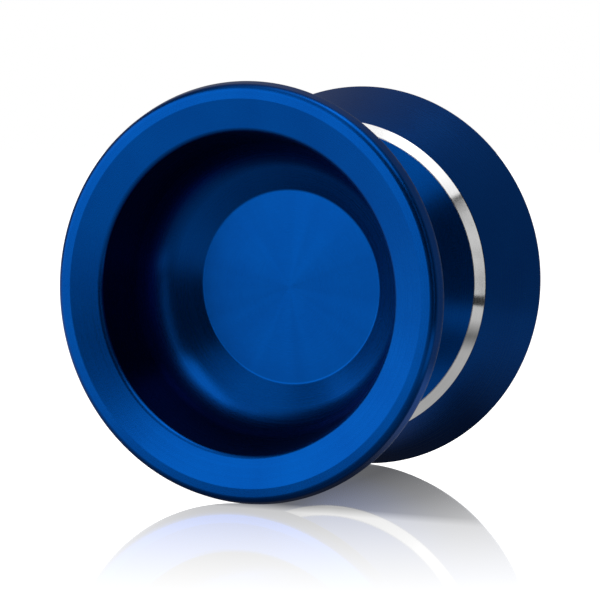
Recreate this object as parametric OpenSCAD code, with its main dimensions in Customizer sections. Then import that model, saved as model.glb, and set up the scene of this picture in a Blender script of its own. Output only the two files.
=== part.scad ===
// Two-piece metal yo-yo with steel weight rings, silicone response pads and a ball bearing.
// The origin is the centre of the bearing, the spin axis is Y and Z is up.
// Every turned outline below is drawn as [distance from the axis, distance from the mid-plane].

/* [Overall] */
// Diameter across the sharp rim edges
rim_d = 55; // [54:0.5:58]
// Width from crown to crown
overall_w = 41.7; // [41:0.1:45]
// Width of the string gap between the two response walls
gap_w = 4.5; // [4.3:0.05:4.7]

/* [Rim] */
// Distance from the mid-plane to the rim edge
rim_edge_y = 19.0; // [18:0.1:19.4]
// Lean of the side wall between the rim edge and the crown, in degrees
side_lean = 16.5; // [8:0.5:20]
// Radius between the side wall and the crown
crown_round = 1.4; // [0.4:0.1:1.5]
// Radius that breaks the rim edge
edge_break = 0.2; // [0.05:0.05:0.3]
// Inner diameter of the flat crown
crown_inner_d = 50.4; // [48.4:0.1:50.8]
// Slope of the dished ring inside the crown, in degrees
dish_slope = 15; // [5:1:20]

/* [Cup] */
// Diameter of the mouth where the dished ring meets the wall
mouth_d = 42.0; // [41:0.1:43]
// Radius on the lip of the mouth
lip_round = 0.9; // [0.3:0.1:1.2]
// Draft of the wall, in degrees
wall_draft = 8.5; // [4:0.5:12]
// Radius between the wall and the floor
floor_round = 7.5; // [4:0.5:9]
// Diameter of the flat hub disc
hub_d = 26.3; // [24:0.1:28]
// Distance from the mid-plane to the hub disc
hub_y = 5.4; // [5.2:0.1:6.6]
// Depth of the hub disc below the floor around it
hub_step = 0.05; // [0.05:0.05:0.5]
// Diameter of the lathe centre mark in the hub disc
centre_mark_d = 0.8; // [0.4:0.1:1.2]

/* [String side] */
// Diameter of the flat response wall
response_d = 19.7; // [19.3:0.1:20.5]
// Slope of the cone between the response wall and the weight ring, in degrees
cone_slope = 29.6; // [26:0.2:31]

/* [Weight ring] */
// Inner diameter of the steel ring
ring_inner_d = 42.6; // [42:0.1:43.4]
// Outer diameter of the steel ring
ring_outer_d = 45.2; // [44.2:0.1:46.2]
// Slope of the ring's polished face, in degrees
ring_slope = 40.4; // [34:0.2:46]
// Distance from the mid-plane to the bottom of the ring's groove
ring_seat_y = 12.2; // [11.6:0.1:13.4]

/* [Response pad] */
// Inner diameter of the pad
pad_inner_d = 14.7; // [14.4:0.1:15]
// Outer diameter of the pad
pad_outer_d = 19; // [18:0.1:19.2]
// Thickness of the pad
pad_t = 1.0; // [0.6:0.1:1.2]
// Depth of the pad's face below the response wall
pad_recess = 0.1; // [0:0.05:0.3]

/* [Bearing] */
// Bore of the bearing
bearing_bore_d = 6.35; // [6.35]
// Outer diameter of the bearing
bearing_outer_d = 12.7; // [12.7]
// Width of the bearing
bearing_w = 4.762; // [4.762]
// Diameter of each ball
ball_d = 1.5875; // [1.5:0.0125:1.6]
// Number of balls
ball_count = 10; // [8:1:10]

/* [Axle] */
// Outer diameter of the axle's thread
axle_d = 4; // [3.8:0.1:4]
// Length of the axle
axle_length = 8; // [7:0.2:8]
// Pitch of the thread
thread_pitch = 0.7; // [0.5:0.1:0.7]
// Width across the flats of the hex sockets in the axle's ends
hex_key = 2; // [1.5:0.5:2]

/* [Hidden] */
$fn = 180;

// The front half lies on -Y and the rear half on +Y
FRONT = 1;
REAR = -1;

// Clearances
fit_gap = 0.01;
pad_gap = 0.05;
thread_gap = 0.05;
ball_gap = 0.03;
well_gap = 0.25;
shield_gap = 0.37;

// Makes each arc cross the lines that it blends, where it would otherwise only touch them
blend_overlap = 0.001;

rim_r = rim_d / 2;
crown_y = overall_w / 2;
wall_y = gap_w / 2;
bearing_y = bearing_w / 2;

// Outline of the rim, from the rim edge to the mouth
rim_edge = [rim_r, rim_edge_y];
crown_outer = [rim_r - (crown_y - rim_edge_y) * tan(side_lean), crown_y];
crown_inner = [crown_inner_d / 2, crown_y];
mouth = [mouth_d / 2, crown_y - (crown_inner_d - mouth_d) / 2 * tan(dish_slope)];

// Outline of the cup, whose floor runs parallel to the cone on the string side
floor_inner = [hub_d / 2, hub_y + hub_step];
floor_outer = crossing(floor_inner, cone_slope, mouth, 90 - wall_draft);
floor_arc = blend(mouth, floor_outer, floor_inner, floor_round);

// Outline of the string side, from the response wall to the weight ring
response_edge = [response_d / 2, wall_y];
ring_inner = along(response_edge, ring_inner_d / 2, cone_slope);
ring_outer = along(ring_inner, ring_outer_d / 2, ring_slope);
ring_chamfer = 0.3;

// Bearing seat in each half
post_r = bearing_bore_d / 2 - fit_gap;
post_end_y = 0.25;
shoulder_r = 4.15;
well_r = bearing_outer_d / 2 + well_gap;
well_floor_y = bearing_y + shield_gap;

// Groove for the response pad
pad_seat_y = wall_y + pad_recess + pad_t;
pad_edge_round = 0.2;

// Axle and its blind hole
thread_depth = 0.61 * thread_pitch;
thread_turns = floor((axle_length - thread_pitch) / thread_pitch);
axle_chamfer = 0.4;
hole_end_y = 4.3;
socket_depth = 1.6;

// Bearing races, balls and cage
pitch_r = (bearing_bore_d + bearing_outer_d) / 4;
inner_land_r = 4.25;
outer_land_r = 5.3;
race_chamfer = 0.2;
shield_seat_r = 5.75;
shield_seat_y = 1.75;
shield_inner_r = 4.42;
shield_t = 0.15;
snap_groove_r = 5.95;
snap_ring_inner_r = 5.42;
snap_groove_y = 1.96;
snap_groove_w = 0.24;
snap_ring_t = 0.18;
snap_ring_opening = 24;
part_gap = 0.03;
cage_inner_r = 4.42;
cage_outer_r = 5.12;
cage_low_y = -0.45;
cage_high_y = 1.3;

function ball_name(i) = str("bearing_ball_", i);

function unit(v) = v / norm(v);

function heading(angle) = [cos(angle), sin(angle)];

// Point at radius r on the line that leaves p at a slope
function along(p, r, slope) = [r, p.y + (r - p.x) * tan(slope)];

// Point where the line through p at angle a meets the line through q at angle b
function crossing(p, a, q, b) =
    p + heading(a) * cross(q - p, heading(b)) / cross(heading(a), heading(b));

// Turns an outline about the Y axis, on the front or the rear side
module turned(side) {
    rotate([side * 90, 0, 0]) rotate_extrude() children();
}

// The arc of a given radius that blends the two sides of a corner: its start, centre and end
function blend(before, corner, after, radius) =
    let (
        u = unit(before - corner),
        v = unit(after - corner),
        half_angle = acos(u * v) / 2,
        run = radius / tan(half_angle)
    )
    [corner + u * run, corner + unit(u + v) * radius / sin(half_angle), corner + v * run];

// What is cut off an outer corner to round it
module corner_waste(before, corner, after, radius) {
    arc = blend(before, corner, after, radius);
    difference() {
        polygon([arc[0], 2 * corner - arc[1], arc[2], arc[1]]);
        translate(arc[1]) circle(radius + blend_overlap);
    }
}

// The corner at the edge of the floor is filled up to the centre of its arc, which the
// arc's circle then clears
module half_blank() {
    polygon([
        [0, post_end_y], [post_r, post_end_y], [post_r, bearing_y],
        [shoulder_r, bearing_y], [shoulder_r, well_floor_y], [well_r, well_floor_y],
        [well_r, wall_y], response_edge, ring_inner, ring_outer,
        rim_edge, crown_outer, crown_inner, mouth,
        floor_arc[0], floor_arc[1], floor_arc[2], floor_inner,
        [hub_d / 2, hub_y], [centre_mark_d / 2, hub_y], [0, hub_y - centre_mark_d / 4]
    ]);
}

module pad_groove() {
    translate([pad_inner_d / 2 - pad_gap, 0])
        square([(pad_outer_d - pad_inner_d) / 2 + 2 * pad_gap, pad_seat_y]);
}

module ring_groove() {
    square_w = (ring_outer_d - ring_inner_d) / 2;
    translate([ring_inner_d / 2, 0]) square([square_w, ring_seat_y]);
}

// Profile of the axle's thread from its middle to one end, grown by a clearance
module thread_outline(gap) {
    crest = axle_d / 2 + gap;
    root = crest - thread_depth;
    half_turns = thread_turns / 2;
    polygon(concat(
        [[0, 0]],
        [for (i = [0:half_turns - 1]) each [
            [crest, i * thread_pitch],
            [root, (i + 0.5) * thread_pitch]
        ]],
        [[crest, half_turns * thread_pitch], [crest, axle_length / 2 - axle_chamfer + gap],
         [crest - axle_chamfer, axle_length / 2 + gap], [0, axle_length / 2 + gap]]
    ));
}

module tapped_hole() {
    thread_outline(thread_gap);
    square([axle_d / 2 - thread_depth, hole_end_y]);
}

module body_half(side) {
    color([0.02, 0.2, 0.55]) turned(side) difference() {
        half_blank();
        translate(floor_arc[1]) circle(floor_round + blend_overlap);
        corner_waste(ring_outer, rim_edge, crown_outer, edge_break);
        corner_waste(rim_edge, crown_outer, crown_inner, crown_round);
        corner_waste(crown_inner, mouth, floor_outer, lip_round);
        pad_groove();
        ring_groove();
        tapped_hole();
    }
}

module weight_ring(side) {
    inner_r = ring_inner_d / 2;
    outer_r = ring_outer_d / 2;
    color([0.86, 0.86, 0.87]) turned(side) polygon([
        ring_inner, ring_outer,
        [outer_r, ring_seat_y - ring_chamfer], [outer_r - ring_chamfer, ring_seat_y],
        [inner_r + ring_chamfer, ring_seat_y], [inner_r, ring_seat_y - ring_chamfer]
    ]);
}

module response_pad(side) {
    inner_low = [pad_inner_d / 2, pad_seat_y - pad_t];
    outer_low = [pad_outer_d / 2, pad_seat_y - pad_t];
    outer_high = [pad_outer_d / 2, pad_seat_y];
    inner_high = [pad_inner_d / 2, pad_seat_y];
    color([0.93, 0.93, 0.9]) turned(side) difference() {
        polygon([inner_low, outer_low, outer_high, inner_high]);
        corner_waste(inner_high, inner_low, outer_low, pad_edge_round);
        corner_waste(inner_low, outer_low, outer_high, pad_edge_round);
    }
}

module axle_screw() {
    color([0.2, 0.2, 0.22]) difference() {
        union() for (side = [FRONT, REAR]) turned(side) thread_outline(0);
        for (side = [FRONT, REAR])
            rotate([side * 90, 0, 0])
                translate([0, 0, axle_length / 2 - socket_depth])
                    cylinder(d = hex_key / cos(30), h = 2 * socket_depth, $fn = 6);
    }
}

module bearing_inner_race() {
    inner_r = bearing_bore_d / 2;
    chamfer = race_chamfer;
    color([0.75, 0.76, 0.78]) turned(REAR) difference() {
        polygon([
            [inner_r + chamfer, -bearing_y], [inner_land_r, -bearing_y],
            [inner_land_r, bearing_y], [inner_r + chamfer, bearing_y],
            [inner_r, bearing_y - chamfer], [inner_r, chamfer - bearing_y]
        ]);
        translate([pitch_r, 0]) circle(ball_d / 2 + ball_gap);
    }
}

module bearing_outer_race() {
    outer_r = bearing_outer_d / 2;
    chamfer = race_chamfer;
    color([0.75, 0.76, 0.78]) turned(REAR) difference() {
        polygon([
            [outer_land_r, -bearing_y], [outer_r - chamfer, -bearing_y],
            [outer_r, chamfer - bearing_y], [outer_r, bearing_y - chamfer],
            [outer_r - chamfer, bearing_y], [outer_land_r, bearing_y]
        ]);
        translate([pitch_r, 0]) circle(ball_d / 2 + ball_gap);
        for (end = [-1, 1]) scale([1, end]) {
            translate([pitch_r, shield_seat_y]) square([shield_seat_r - pitch_r, bearing_y]);
            translate([pitch_r, snap_groove_y]) square([snap_groove_r - pitch_r, snap_groove_w]);
        }
    }
}

// Pressed crown that snaps over the balls and keeps them apart
module bearing_cage() {
    color([0.8, 0.78, 0.7]) difference() {
        turned(REAR) translate([cage_inner_r, cage_low_y])
            square([cage_outer_r - cage_inner_r, cage_high_y - cage_low_y]);
        for (i = [1:ball_count]) at_ball(i) sphere(ball_d / 2 + ball_gap);
    }
}

module at_ball(i) {
    rotate([0, i * 360 / ball_count, 0]) translate([pitch_r, 0, 0]) children();
}

module bearing_ball(i) {
    color([0.85, 0.86, 0.88]) at_ball(i) sphere(d = ball_d);
}

module bearing_shield(side) {
    color([0.8, 0.81, 0.82]) turned(side)
        translate([shield_inner_r, shield_seat_y + part_gap])
            square([shield_seat_r - part_gap - shield_inner_r, shield_t]);
}

module bearing_snap_ring(side) {
    ring_y = snap_groove_y + (snap_groove_w - snap_ring_t) / 2;
    reach = 2 * snap_groove_r;
    color([0.6, 0.61, 0.63]) difference() {
        turned(side) translate([snap_ring_inner_r, ring_y])
            square([snap_groove_r - part_gap - snap_ring_inner_r, snap_ring_t]);
        rotate([side * 90, 0, 0]) linear_extrude(bearing_y)
            polygon([[0, 0], reach * heading(90 - snap_ring_opening / 2),
                     reach * heading(90 + snap_ring_opening / 2)]);
    }
}

body_half(FRONT);  // body_half_front
body_half(REAR);  // body_half_rear
weight_ring(FRONT);  // weight_ring_front
weight_ring(REAR);  // weight_ring_rear
response_pad(FRONT);  // response_pad_front
response_pad(REAR);  // response_pad_rear
axle_screw();
bearing_inner_race();
bearing_outer_race();
bearing_cage();
bearing_shield(FRONT);  // bearing_shield_front
bearing_shield(REAR);  // bearing_shield_rear
bearing_snap_ring(FRONT);  // bearing_snap_ring_front
bearing_snap_ring(REAR);  // bearing_snap_ring_rear
for (i = [1:ball_count])
    bearing_ball(i);
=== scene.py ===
"""Yo-yo on a glossy white floor: looks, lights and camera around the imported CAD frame."""
import math

import bmesh
import bpy
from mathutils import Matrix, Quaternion, Vector


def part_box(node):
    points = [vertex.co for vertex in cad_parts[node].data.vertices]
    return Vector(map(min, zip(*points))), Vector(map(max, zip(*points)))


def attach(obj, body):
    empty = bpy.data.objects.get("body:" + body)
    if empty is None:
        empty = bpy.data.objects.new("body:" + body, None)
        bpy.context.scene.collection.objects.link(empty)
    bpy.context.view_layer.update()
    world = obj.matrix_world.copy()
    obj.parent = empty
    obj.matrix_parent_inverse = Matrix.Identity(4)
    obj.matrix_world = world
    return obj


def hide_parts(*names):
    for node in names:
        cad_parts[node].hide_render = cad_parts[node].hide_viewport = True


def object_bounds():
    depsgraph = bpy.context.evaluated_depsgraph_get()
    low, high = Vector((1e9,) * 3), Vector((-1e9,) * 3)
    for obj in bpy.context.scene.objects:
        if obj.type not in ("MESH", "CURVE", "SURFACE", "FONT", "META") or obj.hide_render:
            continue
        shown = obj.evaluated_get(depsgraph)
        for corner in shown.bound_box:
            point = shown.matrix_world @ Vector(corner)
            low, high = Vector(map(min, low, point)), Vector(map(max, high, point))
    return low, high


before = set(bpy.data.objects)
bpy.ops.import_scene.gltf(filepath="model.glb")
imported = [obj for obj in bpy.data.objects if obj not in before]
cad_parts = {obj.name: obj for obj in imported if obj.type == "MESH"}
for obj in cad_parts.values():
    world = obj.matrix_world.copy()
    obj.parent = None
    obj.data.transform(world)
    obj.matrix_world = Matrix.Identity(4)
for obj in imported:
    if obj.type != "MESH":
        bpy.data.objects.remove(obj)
cad_low, cad_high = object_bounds()

MM = 0.001
SIDES = {"front": -1, "rear": 1}

# ---------------------------------------------------------------- sizes from the frame

HALF_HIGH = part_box("body_half_rear")[1]
RING_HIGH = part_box("weight_ring_rear")[1]
PAD_LOW, PAD_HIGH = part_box("response_pad_rear")
RACE_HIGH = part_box("bearing_outer_race")[1]
AXLE_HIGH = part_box("axle_screw")[1]
SHIELD_LOW, SHIELD_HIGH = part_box("bearing_shield_rear")
SNAP_LOW, SNAP_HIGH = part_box("bearing_snap_ring_rear")

# ---------------------------------------------------------------- outline of a half

RIM_R = 27.5 * MM
RIM_EDGE_Y = 19.0 * MM
SIDE_LEAN = 16.5
CROWN_Y = HALF_HIGH.y
CROWN_INNER_R = 25.2 * MM
DISH_SLOPE = 15
MOUTH_R = 21.0 * MM
WALL_DRAFT = 8.5
HUB_R = 13.15 * MM
HUB_Y = 5.4 * MM
HUB_STEP = 0.05 * MM
WALL_Y = PAD_LOW.y - 0.1 * MM
RESPONSE_R = 9.85 * MM
CONE_SLOPE = 29.6
RING_INNER_R = 21.3 * MM
RING_OUTER_R = RING_HIGH.x
RING_SLOPE = 40.4
RING_SEAT_Y = RING_HIGH.y
PAD_INNER_R = 7.35 * MM
PAD_OUTER_R = PAD_HIGH.x
PAD_SEAT_Y = PAD_HIGH.y
BEVEL_WIDTH = 0.7 * MM
BEVEL_DROP = 0.2 * MM
CENTRE_MARK_R = 0.3 * MM
CENTRE_MARK_DEPTH = 0.03 * MM
THREAD_DEPTH = 0.427 * MM

# ---------------------------------------------------------------- outline of the bearing

BORE_R = 3.175 * MM
BEARING_R = RACE_HIGH.x
BEARING_Y = RACE_HIGH.y
BALL_R = 0.79375 * MM
PITCH_R = (BORE_R + BEARING_R) / 2
INNER_LAND_R = 4.25 * MM
OUTER_LAND_R = 5.3 * MM
SHIELD_SEAT_R = 5.75 * MM
SHIELD_SEAT_Y = 1.75 * MM
SNAP_GROOVE_R = 5.95 * MM
SNAP_GROOVE_Y = (1.96 * MM, 2.2 * MM)
SNAP_OPENING = 24

FINE_EDGE = 0.05 * MM
TURNS = 256
OVEREXPOSURE = 1.35


def tan(degrees):
    return math.tan(math.radians(degrees))


def sloped(point, radius, slope):
    """The point at a radius on the line that leaves another point at a slope."""
    return (radius, point[1] + (radius - point[0]) * tan(slope))


def crossing(p, p_slope, q, q_slope):
    """Where the line through p at one slope meets the line through q at another."""
    a, b = tan(p_slope), tan(q_slope)
    radius = (q[1] - p[1] + a * p[0] - b * q[0]) / (a - b)
    return sloped(p, radius, p_slope)


def arc_points(before, corner, after, radius):
    """Points on the arc that blends a corner's two sides."""
    c = Vector(corner)
    u = (Vector(before) - c).normalized()
    v = (Vector(after) - c).normalized()
    half = math.acos(max(-1, min(1, u.dot(v)))) / 2
    centre = c + (u + v).normalized() * (radius / math.sin(half))
    start = c + u * (radius / math.tan(half)) - centre
    sweep = math.pi - 2 * half
    turn = math.copysign(sweep, start.cross(v))
    steps = max(3, math.ceil(math.degrees(sweep) / 4))
    points = []
    for i in range(steps + 1):
        angle = turn * i / steps
        cos, sin = math.cos(angle), math.sin(angle)
        points.append((centre.x + start.x * cos - start.y * sin,
                       centre.y + start.x * sin + start.y * cos))
    return points


def outline(corners, closed=True):
    """A turned outline from (point, radius of its corner) pairs, with every radius as an arc."""
    points = []
    count = len(corners)
    for i, (point, radius) in enumerate(corners):
        inside = closed or 0 < i < count - 1
        if radius and inside:
            before, after = corners[i - 1][0], corners[(i + 1) % count][0]
            points += arc_points(before, point, after, radius)
        else:
            points.append(point)
    return points


def lathe(name, points, side, body, replaced, closed=True, opening=0):
    """Turns an outline about the Y axis, all the way round or with an opening at the top."""
    bm = bmesh.new()
    gap = math.radians(opening)
    count = TURNS + 1 if opening else TURNS
    angles = [math.pi / 2 + gap / 2 + (2 * math.pi - gap) * t / TURNS for t in range(count)]
    rings = []
    for radius, y in points:
        if radius < 1e-9:
            rings.append([bm.verts.new((0, side * y, 0))])
        else:
            rings.append([
                bm.verts.new((radius * math.cos(a), side * y, -side * radius * math.sin(a)))
                for a in angles
            ])
    pairs = list(zip(rings, rings[1:])) + ([(rings[-1], rings[0])] if closed else [])
    for near, far in pairs:
        for t in range(TURNS):
            n = (t + 1) % count
            if len(near) == 1:
                bm.faces.new((near[0], far[t], far[n]))
            elif len(far) == 1:
                bm.faces.new((near[t], far[0], near[n]))
            else:
                bm.faces.new((near[t], far[t], far[n], near[n]))
    if opening:
        for end in (0, -1):
            bm.faces.new([ring[end] for ring in rings])
    bmesh.ops.recalc_face_normals(bm, faces=bm.faces)
    return finished(name, bm, body, replaced)


def finished(name, bm, body, replaced):
    """Makes a smooth-shaded piece with crisp corners, on its body and in its node's place."""
    mesh = bpy.data.meshes.new(name)
    bm.to_mesh(mesh)
    bm.free()
    for face in mesh.polygons:
        face.use_smooth = True
    mesh.set_sharp_from_angle(angle=math.radians(32))
    piece = bpy.data.objects.new(name, mesh)
    bpy.context.scene.collection.objects.link(piece)
    normals = piece.modifiers.new("crisp_normals", "WEIGHTED_NORMAL")
    normals.keep_sharp = True
    normals.weight = 100
    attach(piece, body)
    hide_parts(replaced)
    return piece


# ---------------------------------------------------------------- materials


class Shader:
    """A material under construction: short calls that add nodes and link them."""

    def __init__(self, name):
        self.material = bpy.data.materials.new(name)
        self.material.use_nodes = True
        self.tree = self.material.node_tree
        self.surface = self.tree.nodes["Principled BSDF"]

    def node(self, kind, inputs=None, **settings):
        made = self.tree.nodes.new(kind)
        for key, value in settings.items():
            setattr(made, key, value)
        for key, value in (inputs or {}).items():
            self.feed(made.inputs[key], value)
        return made

    def feed(self, socket, value):
        if isinstance(value, bpy.types.NodeSocket):
            self.tree.links.new(value, socket)
        else:
            socket.default_value = value

    def math(self, operation, *values):
        made = self.node("ShaderNodeMath", operation=operation)
        for socket, value in zip(made.inputs, values):
            self.feed(socket, value)
        return made.outputs[0]

    def spread(self, value, low, high, start=0.0, end=1.0):
        """Maps a value from start..end to low..high, held at both ends."""
        made = self.node("ShaderNodeMapRange", {0: value, 1: start, 2: end, 3: low, 4: high})
        return made.outputs[0]

    def blend(self, factor, first, second):
        made = self.node("ShaderNodeMix", data_type="RGBA")
        self.feed(made.inputs["Factor"], factor)
        self.feed(made.inputs["A"], first)
        self.feed(made.inputs["B"], second)
        return made.outputs["Result"]

    def place(self):
        """Object coordinates, in metres."""
        return self.node("ShaderNodeTexCoord").outputs["Object"]

    def noise(self, size, detail=3, where=None):
        """Noise whose features are about a size across, in metres."""
        made = self.node("ShaderNodeTexNoise", {"Scale": 1 / size, "Detail": detail})
        self.feed(made.inputs["Vector"], where or self.place())
        return made.outputs["Fac"]

    def polar(self):
        """Distance from the spin axis, place along it and distance from the mid-plane."""
        x, y, z = self.node("ShaderNodeSeparateXYZ", {0: self.place()}).outputs
        radius = self.math("SQRT", self.math("ADD", self.math("MULTIPLY", x, x),
                                             self.math("MULTIPLY", z, z)))
        return radius, y, self.math("ABSOLUTE", y)

    def lathe_lines(self, pitch):
        """Noise that changes only along the outline, as a turning tool leaves it."""
        radius, y, _ = self.polar()
        where = self.node("ShaderNodeCombineXYZ", {0: radius, 1: y, 2: 0.0}).outputs[0]
        return self.noise(pitch, detail=2, where=where)

    def spokes(self, count):
        """Noise that changes only round the spin axis, as the lathe's chatter leaves it."""
        x, _, z = self.node("ShaderNodeSeparateXYZ", {0: self.place()}).outputs
        angle = self.math("ARCTAN2", z, x)
        where = self.node("ShaderNodeCombineXYZ", {0: self.math("COSINE", angle),
                                                   1: self.math("SINE", angle), 2: 0.0}).outputs[0]
        return self.noise(2 * math.pi / count, detail=3, where=where)

    def around(self):
        """Tangent that runs round the spin axis."""
        return self.node("ShaderNodeTangent", direction_type="RADIAL", axis="Y").outputs[0]

    def bump(self, height, depth, strength=1.0):
        made = self.node("ShaderNodeBump", {"Strength": strength, "Distance": depth})
        self.feed(made.inputs["Height"], height)
        return made.outputs[0]

    def set(self, **inputs):
        for key, value in inputs.items():
            self.feed(self.surface.inputs[key.replace("_", " ")], value)
        return self.material


def anodised(name, pitch, depth, roughness, anisotropy, chatter):
    """Blue anodised aluminium: dyed metal with turning lines, and painted shade that darkens the
    cup wall.
    """
    s = Shader(name)
    radius, _, depth_in = s.polar()
    cloud = s.noise(6 * MM, detail=4)
    grain = s.noise(0.1 * MM, detail=2)
    lines = s.lathe_lines(pitch)
    dye = s.blend(s.spread(cloud, 0, 1, 0.35, 0.65), (0.0, 0.054, 0.27, 1), (0.0, 0.06, 0.29, 1))
    dye = s.blend(s.spread(s.spokes(24), 0, chatter, 0.35, 0.7), dye, (0.0, 0.036, 0.19, 1))
    dye = s.blend(s.spread(grain, 0, chatter, 0.4, 0.65), dye, (0.0, 0.066, 0.32, 1))
    # A paler grey-blue, in blotches, along the rim's outermost edge.
    rim_edge_paler = s.math("MULTIPLY", s.spread(radius, 0, 1, RIM_R - 0.12 * MM, RIM_R - 0.02 * MM),
                  s.spread(s.noise(0.8 * MM), 0.15, 0.5, 0.4, 0.6))
    tint = s.blend(rim_edge_paler, dye, (0.11, 0.14, 0.21, 1))
    # Painted shade: the base colour goes nearly black on the cup wall, between the fillet and the
    # mouth.
    above_cone = s.math("SUBTRACT", depth_in, s.math("MULTIPLY", radius, tan(CONE_SLOPE)))
    cup_wall_shade = s.math("MULTIPLY", s.spread(radius, 0, 1, 18 * MM, 20 * MM),
                      s.spread(radius, 1, 0, MOUTH_R - 0.05 * MM, MOUTH_R + 0.05 * MM))
    cup_wall_shade = s.math("MULTIPLY", cup_wall_shade, s.spread(above_cone, 0, 1, -2.5 * MM, -1.5 * MM))
    tint = s.blend(cup_wall_shade, tint, (0.006, 0.016, 0.08, 1))
    rough = s.math("ADD", s.spread(grain, roughness - 0.02, roughness + 0.03, 0.3, 0.7),
                   s.spread(lines, -0.02, 0.02, 0.3, 0.7))
    relief = s.math("ADD", lines, s.math("MULTIPLY", grain, 0.5))
    return s.set(Base_Color=tint, Metallic=1.0, Roughness=rough, Anisotropic=anisotropy,
                 Anisotropic_Rotation=0.25, Tangent=s.around(), Normal=s.bump(relief, depth),
                 Coat_Weight=0.02, Coat_Roughness=0.2)


def steel(name, colour, roughness, pitch=0.12 * MM, depth=0.0004 * MM, anisotropy=0.5):
    """Turned or ground steel with fine circular scratches and faint handling marks."""
    s = Shader(name)
    lines = s.lathe_lines(pitch)
    smudge = s.noise(2.5 * MM, detail=4)
    rough = s.math("ADD", s.spread(smudge, roughness * 0.85, roughness * 1.2, 0.3, 0.7),
                   s.spread(lines, -0.015, 0.025, 0.3, 0.7))
    dull = tuple(0.9 * c for c in colour)
    tint = s.blend(s.spread(lines, 0, 1, 0.3, 0.7), (*dull, 1), (*colour, 1))
    tint = s.blend(s.spread(s.spokes(90), 0, 0.25, 0.45, 0.65), tint, (*dull, 1))
    return s.set(Base_Color=tint, Metallic=1.0, Roughness=rough, Anisotropic=anisotropy,
                 Anisotropic_Rotation=0.25, Tangent=s.around(), Normal=s.bump(lines, depth))


def silicone(name):
    """Matt, slightly translucent cast silicone with string wear around its middle."""
    s = Shader(name)
    radius, _, _ = s.polar()
    mottle = s.noise(1.5 * MM, detail=5)
    grain = s.noise(0.08 * MM, detail=2)
    middle = s.math("ABSOLUTE", s.math("SUBTRACT", radius, (PAD_INNER_R + PAD_OUTER_R) / 2))
    worn = s.spread(middle, 0.3, 0.0, 0.0, 0.8 * MM)
    tint = s.blend(s.spread(mottle, 0, 1, 0.35, 0.65), (0.7, 0.71, 0.72, 1), (0.8, 0.81, 0.82, 1))
    tint = s.blend(worn, tint, (0.5, 0.5, 0.48, 1))
    return s.set(Base_Color=tint, Roughness=s.spread(grain, 0.46, 0.62, 0.3, 0.7),
                 Subsurface_Weight=0.25, Subsurface_Radius=(1.2 * MM, 1.0 * MM, 0.8 * MM),
                 Normal=s.bump(grain, 0.004 * MM))


def ball_steel(name):
    """Lapped bearing balls: nearly mirrors, with a trace of grease."""
    s = Shader(name)
    smear = s.noise(0.6 * MM, detail=4)
    return s.set(Base_Color=s.blend(smear, (0.72, 0.73, 0.74, 1), (0.8, 0.81, 0.82, 1)),
                 Metallic=1.0, Roughness=s.spread(smear, 0.04, 0.14, 0.3, 0.7),
                 Normal=s.bump(smear, 0.0004 * MM))


# ---------------------------------------------------------------- pieces


def thread_corners(crest, gap):
    """Corners of the M4 thread from the mid-plane to the axle's end, grown by a clearance."""
    pitch, turns = 0.7 * MM, 5
    crest_r, root_r = crest + gap, crest + gap - THREAD_DEPTH
    corners = []
    for i in range(turns):
        corners += [((crest_r, i * pitch), 0), ((root_r, (i + 0.5) * pitch), 0)]
    end = AXLE_HIGH.y + gap
    chamfer = 0.4 * MM
    corners += [((crest_r, turns * pitch), 0), ((crest_r, end - chamfer), 0),
                ((crest_r - chamfer, end), 0)]
    return corners


def string_side():
    """The response edge and the two edges of the weight ring, on the half's string side."""
    response = (RESPONSE_R, WALL_Y)
    ring_inner = sloped(response, RING_INNER_R, CONE_SLOPE)
    return response, ring_inner, sloped(ring_inner, RING_OUTER_R, RING_SLOPE)


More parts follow.
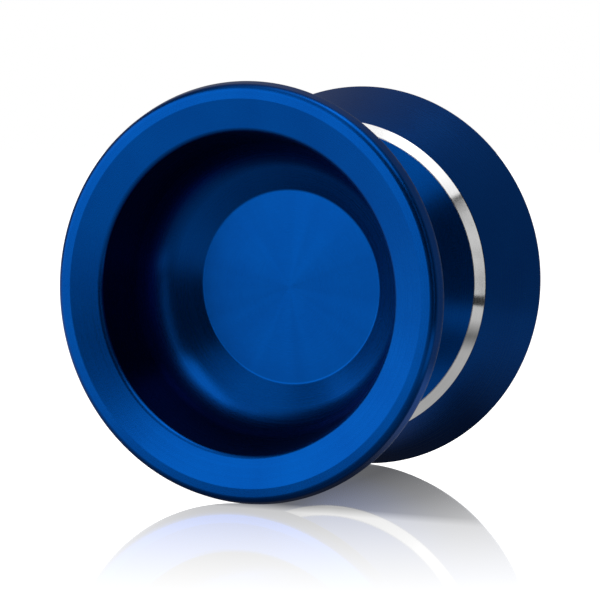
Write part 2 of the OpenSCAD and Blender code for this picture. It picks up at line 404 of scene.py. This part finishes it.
def half_corners():
    """Corners of a half, from the end of its tapped hole round to the middle of its hub disc."""
    post_r = BORE_R - 0.01 * MM
    post_end = 0.25 * MM
    well_floor = BEARING_Y + 0.37 * MM
    well_r = BEARING_R + 0.25 * MM
    shoulder_r = 4.15 * MM
    response, ring_inner, ring_outer = string_side()
    rim_edge = (RIM_R, RIM_EDGE_Y)
    bevel_y = CROWN_Y - BEVEL_DROP
    bevel_outer = (RIM_R - (bevel_y - RIM_EDGE_Y) * tan(SIDE_LEAN), bevel_y)
    bevel_inner = (bevel_outer[0] - BEVEL_WIDTH, CROWN_Y)
    crown_inner = (CROWN_INNER_R, CROWN_Y)
    mouth = sloped(crown_inner, MOUTH_R, DISH_SLOPE)
    disc_edge = (HUB_R, HUB_Y)
    floor_outer = crossing((HUB_R, HUB_Y + HUB_STEP), CONE_SLOPE, mouth, 90 - WALL_DRAFT)
    pad_in, pad_out = PAD_INNER_R - 0.05 * MM, PAD_OUTER_R + 0.05 * MM
    hole_end = 4.3 * MM
    drill_r = AXLE_HIGH.x - THREAD_DEPTH
    thread_gap = 0.05 * MM
    hole = [c for c in reversed(thread_corners(AXLE_HIGH.x, thread_gap)) if c[0][1] > post_end]
    return [
        ((0, hole_end), 0), ((drill_r, hole_end), 0), ((drill_r, AXLE_HIGH.y + thread_gap), 0),
        *hole, ((1.745 * MM, post_end), 0),
        ((post_r, post_end), 0.1 * MM), ((post_r, BEARING_Y), 0),
        ((shoulder_r, BEARING_Y), FINE_EDGE), ((shoulder_r, well_floor), FINE_EDGE),
        ((well_r, well_floor), FINE_EDGE), ((well_r, WALL_Y), 2 * FINE_EDGE),
        ((pad_in, WALL_Y), FINE_EDGE), ((pad_in, PAD_SEAT_Y), 0),
        ((pad_out, PAD_SEAT_Y), 0), ((pad_out, WALL_Y), FINE_EDGE),
        (response, 0.15 * MM), (ring_inner, 0.03 * MM),
        ((RING_INNER_R, RING_SEAT_Y), 0), ((RING_OUTER_R, RING_SEAT_Y), 0),
        (ring_outer, 0.03 * MM), (rim_edge, 0.2 * MM), (bevel_outer, 1.0 * MM),
        (bevel_inner, 0.8 * MM),
        (crown_inner, 0.12 * MM), (mouth, 0.9 * MM), (floor_outer, 7.5 * MM),
        (disc_edge, 0.6 * MM),
        ((CENTRE_MARK_R, HUB_Y), 0), ((0, HUB_Y - CENTRE_MARK_DEPTH), 0),
    ]


def make_halves(satin, turned):
    """Both halves, satin but for the finer turned face of the hub disc."""
    points = outline(half_corners(), closed=False)
    for place, side in SIDES.items():
        piece = lathe(f"{place}_half", points, side, "yoyo", f"body_half_{place}", closed=False)
        piece.data.materials.append(satin)
        piece.data.materials.append(turned)
        for face in piece.data.polygons:
            spot = face.center
            on_disc = math.hypot(spot.x, spot.z) < HUB_R and abs(abs(spot.y) - HUB_Y) < 0.15 * MM
            face.material_index = 1 if on_disc else 0


def make_weight_rings(material):
    _, inner, outer = string_side()
    chamfer = 0.3 * MM
    corners = [
        (inner, FINE_EDGE), (outer, FINE_EDGE),
        ((RING_OUTER_R, RING_SEAT_Y - chamfer), 0), ((RING_OUTER_R - chamfer, RING_SEAT_Y), 0),
        ((RING_INNER_R + chamfer, RING_SEAT_Y), 0), ((RING_INNER_R, RING_SEAT_Y - chamfer), 0),
    ]
    for place, side in SIDES.items():
        piece = lathe(f"{place}_weight_ring", outline(corners), side, "yoyo",
                      f"weight_ring_{place}")
        piece.data.materials.append(material)


def make_pads(material):
    """Response pads whose faces sink a little between rounded edges, as cast silicone does."""
    middle = (PAD_INNER_R + PAD_OUTER_R) / 2
    sink = 0.04 * MM
    edge = 0.25 * MM
    corners = [
        ((PAD_INNER_R, PAD_LOW.y), edge), ((middle - 0.5 * MM, PAD_LOW.y + sink), 0.8 * MM),
        ((middle + 0.5 * MM, PAD_LOW.y + sink), 0.8 * MM), ((PAD_OUTER_R, PAD_LOW.y), edge),
        ((PAD_OUTER_R, PAD_SEAT_Y), FINE_EDGE), ((PAD_INNER_R, PAD_SEAT_Y), FINE_EDGE),
    ]
    for place, side in SIDES.items():
        piece = lathe(f"{place}_response_pad", outline(corners), side, "yoyo",
                      f"response_pad_{place}")
        piece.data.materials.append(material)


def groove_points(land_r, outwards):
    """The ball groove of a race, from its low edge to its high edge, as sharp corners."""
    radius = BALL_R + 0.03 * MM
    edge = math.acos(abs(land_r - PITCH_R) / radius)
    steps = 24
    points = []
    for i in range(steps + 1):
        a = edge * (2 * i / steps - 1)
        points.append(((PITCH_R + outwards * radius * math.cos(a), radius * math.sin(a)), 0))
    return points


def make_races(material):
    edge = 0.2 * MM
    inner = [
        ((BORE_R, -BEARING_Y), edge), ((INNER_LAND_R, -BEARING_Y), FINE_EDGE),
        *groove_points(INNER_LAND_R, -1),
        ((INNER_LAND_R, BEARING_Y), FINE_EDGE), ((BORE_R, BEARING_Y), edge),
    ]
    groove_low, groove_high = SNAP_GROOVE_Y
    seat = [
        ((OUTER_LAND_R, SHIELD_SEAT_Y), FINE_EDGE), ((SHIELD_SEAT_R, SHIELD_SEAT_Y), 0),
        ((SHIELD_SEAT_R, groove_low), 0), ((SNAP_GROOVE_R, groove_low), 0),
        ((SNAP_GROOVE_R, groove_high), 0), ((SHIELD_SEAT_R, groove_high), 0),
        ((SHIELD_SEAT_R, BEARING_Y), FINE_EDGE), ((BEARING_R, BEARING_Y), edge),
    ]
    mirrored = [((r, -y), round_) for (r, y), round_ in reversed(seat)]
    outer = [*mirrored, *groove_points(OUTER_LAND_R, 1), *seat]
    for name, corners, body in (("inner_race", inner, "yoyo"), ("outer_race", outer, "outer_race")):
        piece = lathe(name, outline(corners), 1, body, f"bearing_{name}")
        piece.data.materials.append(material)


def make_shields(material):
    """Pressed sheet shields: a flat rim under the snap ring, a step and a lip turned inwards."""
    sheet = SHIELD_HIGH.y - SHIELD_LOW.y
    rim_r, step_r, lip_r = SHIELD_HIGH.x, 5.3 * MM, 4.42 * MM
    drop = 0.06 * MM
    high, low = SHIELD_HIGH.y, SHIELD_LOW.y
    corners = [
        ((rim_r, high), FINE_EDGE), ((step_r + drop, high), 0.08 * MM),
        ((step_r - drop, high - drop), 0.08 * MM), ((lip_r, high - drop), 0.12 * MM),
        ((lip_r, low - 0.2 * MM), FINE_EDGE), ((lip_r + sheet, low - 0.2 * MM), FINE_EDGE),
        ((lip_r + sheet, low - drop), FINE_EDGE), ((step_r - 2 * drop, low - drop), FINE_EDGE),
        ((step_r, low), FINE_EDGE), ((rim_r, low), FINE_EDGE),
    ]
    for place, side in SIDES.items():
        piece = lathe(f"{place}_shield", outline(corners), side, "outer_race",
                      f"bearing_shield_{place}")
        piece.data.materials.append(material)


def make_snap_rings(material):
    inner_r = 5.42 * MM
    outer_r = SNAP_GROOVE_R - 0.03 * MM
    low, high = SNAP_LOW.y, SNAP_HIGH.y
    corners = [((inner_r, low), 0.06 * MM), ((outer_r, low), 0.06 * MM),
               ((outer_r, high), 0.06 * MM), ((inner_r, high), 0.06 * MM)]
    for place, side in SIDES.items():
        piece = lathe(f"{place}_snap_ring", outline(corners), side, "outer_race",
                      f"bearing_snap_ring_{place}", opening=SNAP_OPENING)
        piece.data.materials.append(material)


def paint(nodes, material):
    """Gives CAD nodes that keep their shape a material of their own."""
    for name in nodes:
        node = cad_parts[name]
        node.data.materials.clear()
        node.data.materials.append(material)


# ---------------------------------------------------------------- studio


def heading(azimuth, elevation):
    """Direction from the yo-yo: azimuth from the front towards the right, elevation from level."""
    a, e = math.radians(azimuth), math.radians(elevation)
    return Vector((math.sin(a) * math.cos(e), -math.cos(a) * math.cos(e), math.sin(e)))


def make_camera():
    """The camera stands a little to the right and just above the yo-yo's middle."""
    back = heading(24.44, 4.11)
    data = bpy.data.cameras.new("camera")
    data.sensor_width = 36
    data.lens = 129.15
    data.clip_start = 0.01
    camera = bpy.data.objects.new("camera", data)
    camera.location = back * 296.2 * MM
    camera.rotation_mode = "QUATERNION"
    turn_left = Quaternion((0, 1, 0), math.radians(0.160))
    tip_down = Quaternion((1, 0, 0), -math.radians(0.414))
    camera.rotation_quaternion = (-back).to_track_quat("-Z", "Y") @ turn_left @ tip_down
    bpy.context.scene.collection.objects.link(camera)
    bpy.context.scene.camera = camera


def softbox(name, azimuth, elevation, distance, width, height, radiance):
    """A rectangular area light that faces the yo-yo."""
    data = bpy.data.lights.new(name, "AREA")
    data.shape = "RECTANGLE"
    data.size, data.size_y = width, height
    data.energy = radiance * math.pi * width * height
    light = bpy.data.objects.new(name, data)
    place = heading(azimuth, elevation)
    light.location = place * distance
    light.rotation_mode = "QUATERNION"
    light.rotation_quaternion = (-place).to_track_quat("-Z", "Y")
    light.visible_camera = False
    bpy.context.scene.collection.objects.link(light)
    return light


def make_lights():
    """Softboxes at the left, high at the right, above, and a narrow card at the right."""
    softbox("key", -38, 16.5, 0.8, 0.9, 0.51, 1.88)
    softbox("overhead", 44, 61.2, 0.8, 0.36, 0.7, 1.55)
    softbox("top", 0, 75, 0.8, 0.4, 0.3, 0.9)
    softbox("right_card", 56, 13.5, 0.8, 0.085, 0.663, 1.02)


def make_world():
    """A white room to the eye; to the yo-yo, dark but for light high up in front and behind."""
    world = bpy.data.worlds.new("studio")
    world.use_nodes = True
    nodes, links = world.node_tree.nodes, world.node_tree.links

    def ramp(value, values):
        made = nodes.new("ShaderNodeMapRange")
        for slot, number in zip(("From Min", "From Max", "To Min", "To Max"), values):
            made.inputs[slot].default_value = number
        links.new(value, made.inputs["Value"])
        return made.outputs[0]

    direction = nodes.new("ShaderNodeTexCoord").outputs["Generated"]
    parts = nodes.new("ShaderNodeSeparateXYZ")
    links.new(direction, parts.inputs[0])
    near = nodes.new("ShaderNodeVectorMath")
    near.operation = "DOT_PRODUCT"
    links.new(direction, near.inputs[0])
    near.inputs[1].default_value = heading(-8, 64)
    total = nodes.new("ShaderNodeMath")
    total.operation = "MAXIMUM"
    links.new(ramp(near.outputs["Value"], (0.78, 0.96, 0.04, 0.78)), total.inputs[0])
    links.new(ramp(parts.outputs["Y"], (-0.1, 0.2, 0.0, 0.3)), total.inputs[1])
    room = nodes["Background"]
    room.inputs["Color"].default_value = (1, 1, 1, 1)
    links.new(total.outputs[0], room.inputs["Strength"])
    white = nodes.new("ShaderNodeBackground")
    white.inputs["Color"].default_value = (1, 1, 1, 1)
    seen = nodes.new("ShaderNodeLightPath")
    mix = nodes.new("ShaderNodeMixShader")
    links.new(seen.outputs["Is Camera Ray"], mix.inputs["Fac"])
    links.new(room.outputs[0], mix.inputs[1])
    links.new(white.outputs[0], mix.inputs[2])
    links.new(mix.outputs[0], nodes["World Output"].inputs["Surface"])
    bpy.context.scene.world = world
    bpy.context.scene.view_settings.view_transform = "Standard"


def acrylic(name):
    """A floor material without its ordinary surface, which close_acrylic gives it."""
    s = Shader(name)
    s.tree.nodes.remove(s.surface)
    return s


def from_point(s, x0, y0):
    """Distance from a point on the floor."""
    x, y, _ = s.node("ShaderNodeSeparateXYZ", {0: s.place()}).outputs
    dx, dy = s.math("SUBTRACT", x, x0), s.math("SUBTRACT", y, y0)
    return s.math("SQRT", s.math("ADD", s.math("MULTIPLY", dx, dx), s.math("MULTIPLY", dy, dy)))


def close_acrylic(s, glow, polish, exposure=1.0):
    """Lets the acrylic glow and mirror, the mirror as strong as polish and the angle make it."""
    strength = s.math("MULTIPLY", glow, exposure)
    light = s.node("ShaderNodeEmission", {"Strength": strength}).outputs[0]
    colour = (exposure, exposure, exposure, 1)
    mirror = s.node("ShaderNodeBsdfGlossy", {"Roughness": 0.03, "Color": colour})
    fresnel = s.node("ShaderNodeFresnel", {"IOR": 1.6}).outputs[0]
    mix = s.node("ShaderNodeMixShader", {0: s.math("MULTIPLY", fresnel, polish), 1: light})
    s.feed(mix.inputs[2], mirror.outputs[0])
    s.feed(s.tree.nodes["Material Output"].inputs["Surface"], mix.outputs[0])
    return s.material


def seen_floor_material():
    """What the camera sees: overexposed white, a shadow between the rims and a mirror image."""
    s = acrylic("acrylic_seen")
    x, y, _ = s.node("ShaderNodeSeparateXYZ", {0: s.place()}).outputs
    under = s.spread(s.math("ABSOLUTE", y), 1.0, 0.0, 17 * MM, 22 * MM)
    light = s.spread(s.math("ABSOLUTE", x), 0.25, 1.0, 6 * MM, 42 * MM)
    dark = s.math("MULTIPLY", under, s.math("SUBTRACT", 1.0, light))
    polish = s.spread(from_point(s, 0.0, 0.0), 1.5, 0.0, 19 * MM, 125 * MM)
    return close_acrylic(s, s.math("SUBTRACT", 1.0, dark), polish, OVEREXPOSURE)


def lit_floor_material():
    """What the yo-yo reflects: shade at its foot, a dark right side and light where it falls."""
    s = acrylic("acrylic_lit")
    x, y, _ = s.node("ShaderNodeSeparateXYZ", {0: s.place()}).outputs
    distance = from_point(s, 2 * MM, 8 * MM)
    shade = s.spread(distance, 0.04, 0.85, 24 * MM, 115 * MM)
    right = s.spread(x, 1.0, 0.22, 20 * MM, 70 * MM)
    left = s.math("MULTIPLY", s.spread(distance, 0.0, 0.25, 150 * MM, 350 * MM),
                  s.spread(x, 1.0, 0.0, -200 * MM, 20 * MM))
    patch = s.spread(from_point(s, 85 * MM, -40 * MM), 0.7, 0.0, 20 * MM, 42 * MM)
    behind = s.spread(from_point(s, 74 * MM, 44 * MM), 0.24, 0.0, 15 * MM, 60 * MM)
    across = s.math("ABSOLUTE", s.math("SUBTRACT", y, 2 * MM))
    along = s.math("ABSOLUTE", s.math("SUBTRACT", x, 20 * MM))
    between = s.math("MULTIPLY", s.spread(across, 0.55, 0.0, 8 * MM, 15 * MM),
                     s.spread(along, 1.0, 0.0, 24 * MM, 42 * MM))
    glow = s.math("ADD", s.math("MULTIPLY", shade, right), left)
    glow = s.math("ADD", s.math("ADD", glow, behind), s.math("MAXIMUM", patch, between))
    return close_acrylic(s, glow, 0.6)


def make_floor(name, material, z, right, to_camera):
    """A sheet that reaches far on every side but the right."""
    far = 4.0
    bm = bmesh.new()
    corners = [(-far, -far, z), (right, -far, z), (right, far, z), (-far, far, z)]
    bm.faces.new([bm.verts.new(corner) for corner in corners])
    mesh = bpy.data.meshes.new(name)
    bm.to_mesh(mesh)
    bm.free()
    mesh.materials.append(material)
    floor = bpy.data.objects.new(name, mesh)
    floor.visible_camera = to_camera
    for rays in ("diffuse", "glossy", "transmission", "shadow"):
        setattr(floor, f"visible_{rays}", not to_camera)
    group = bpy.data.collections.new(name)
    bpy.context.scene.collection.children.link(group)
    group.objects.link(floor)
    return group


def make_floors():
    """One floor for the camera, which mirrors white walls, and one for the yo-yo's reflections."""
    z = cad_low.z
    seen = make_floor("floor_seen", seen_floor_material(), z, 4.0, True)
    make_floor("floor_lit", lit_floor_material(), z - 0.2 * MM, 107 * MM, False)
    for azimuth in (0, 90, 180, 270):
        wall = softbox(f"white_wall_{azimuth}", azimuth, 20, 2.0, 4.4, 2.2, 1.0)
        wall.light_linking.receiver_collection = seen


make_halves(anodised("anodised_satin", 0.25 * MM, 0.0003 * MM, 0.27, 0.6, 0.15),
            anodised("anodised_turned", 0.08 * MM, 0.0004 * MM, 0.24, 0.75, 0.35))
make_weight_rings(steel("polished_steel", (0.58, 0.58, 0.58), 0.1))
make_pads(silicone("cast_silicone"))
make_races(steel("bearing_steel", (0.62, 0.63, 0.65), 0.18))
make_shields(steel("shield_steel", (0.7, 0.71, 0.73), 0.25))
make_snap_rings(steel("spring_steel", (0.4, 0.41, 0.44), 0.3))
paint(["axle_screw"], steel("black_oxide_steel", (0.05, 0.05, 0.06), 0.35))
paint(["bearing_cage"], steel("cage_steel", (0.66, 0.63, 0.56), 0.3))
paint([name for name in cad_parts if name.startswith("bearing_ball_")],
      ball_steel("ball_steel"))
make_camera()
make_lights()
make_world()
make_floors()
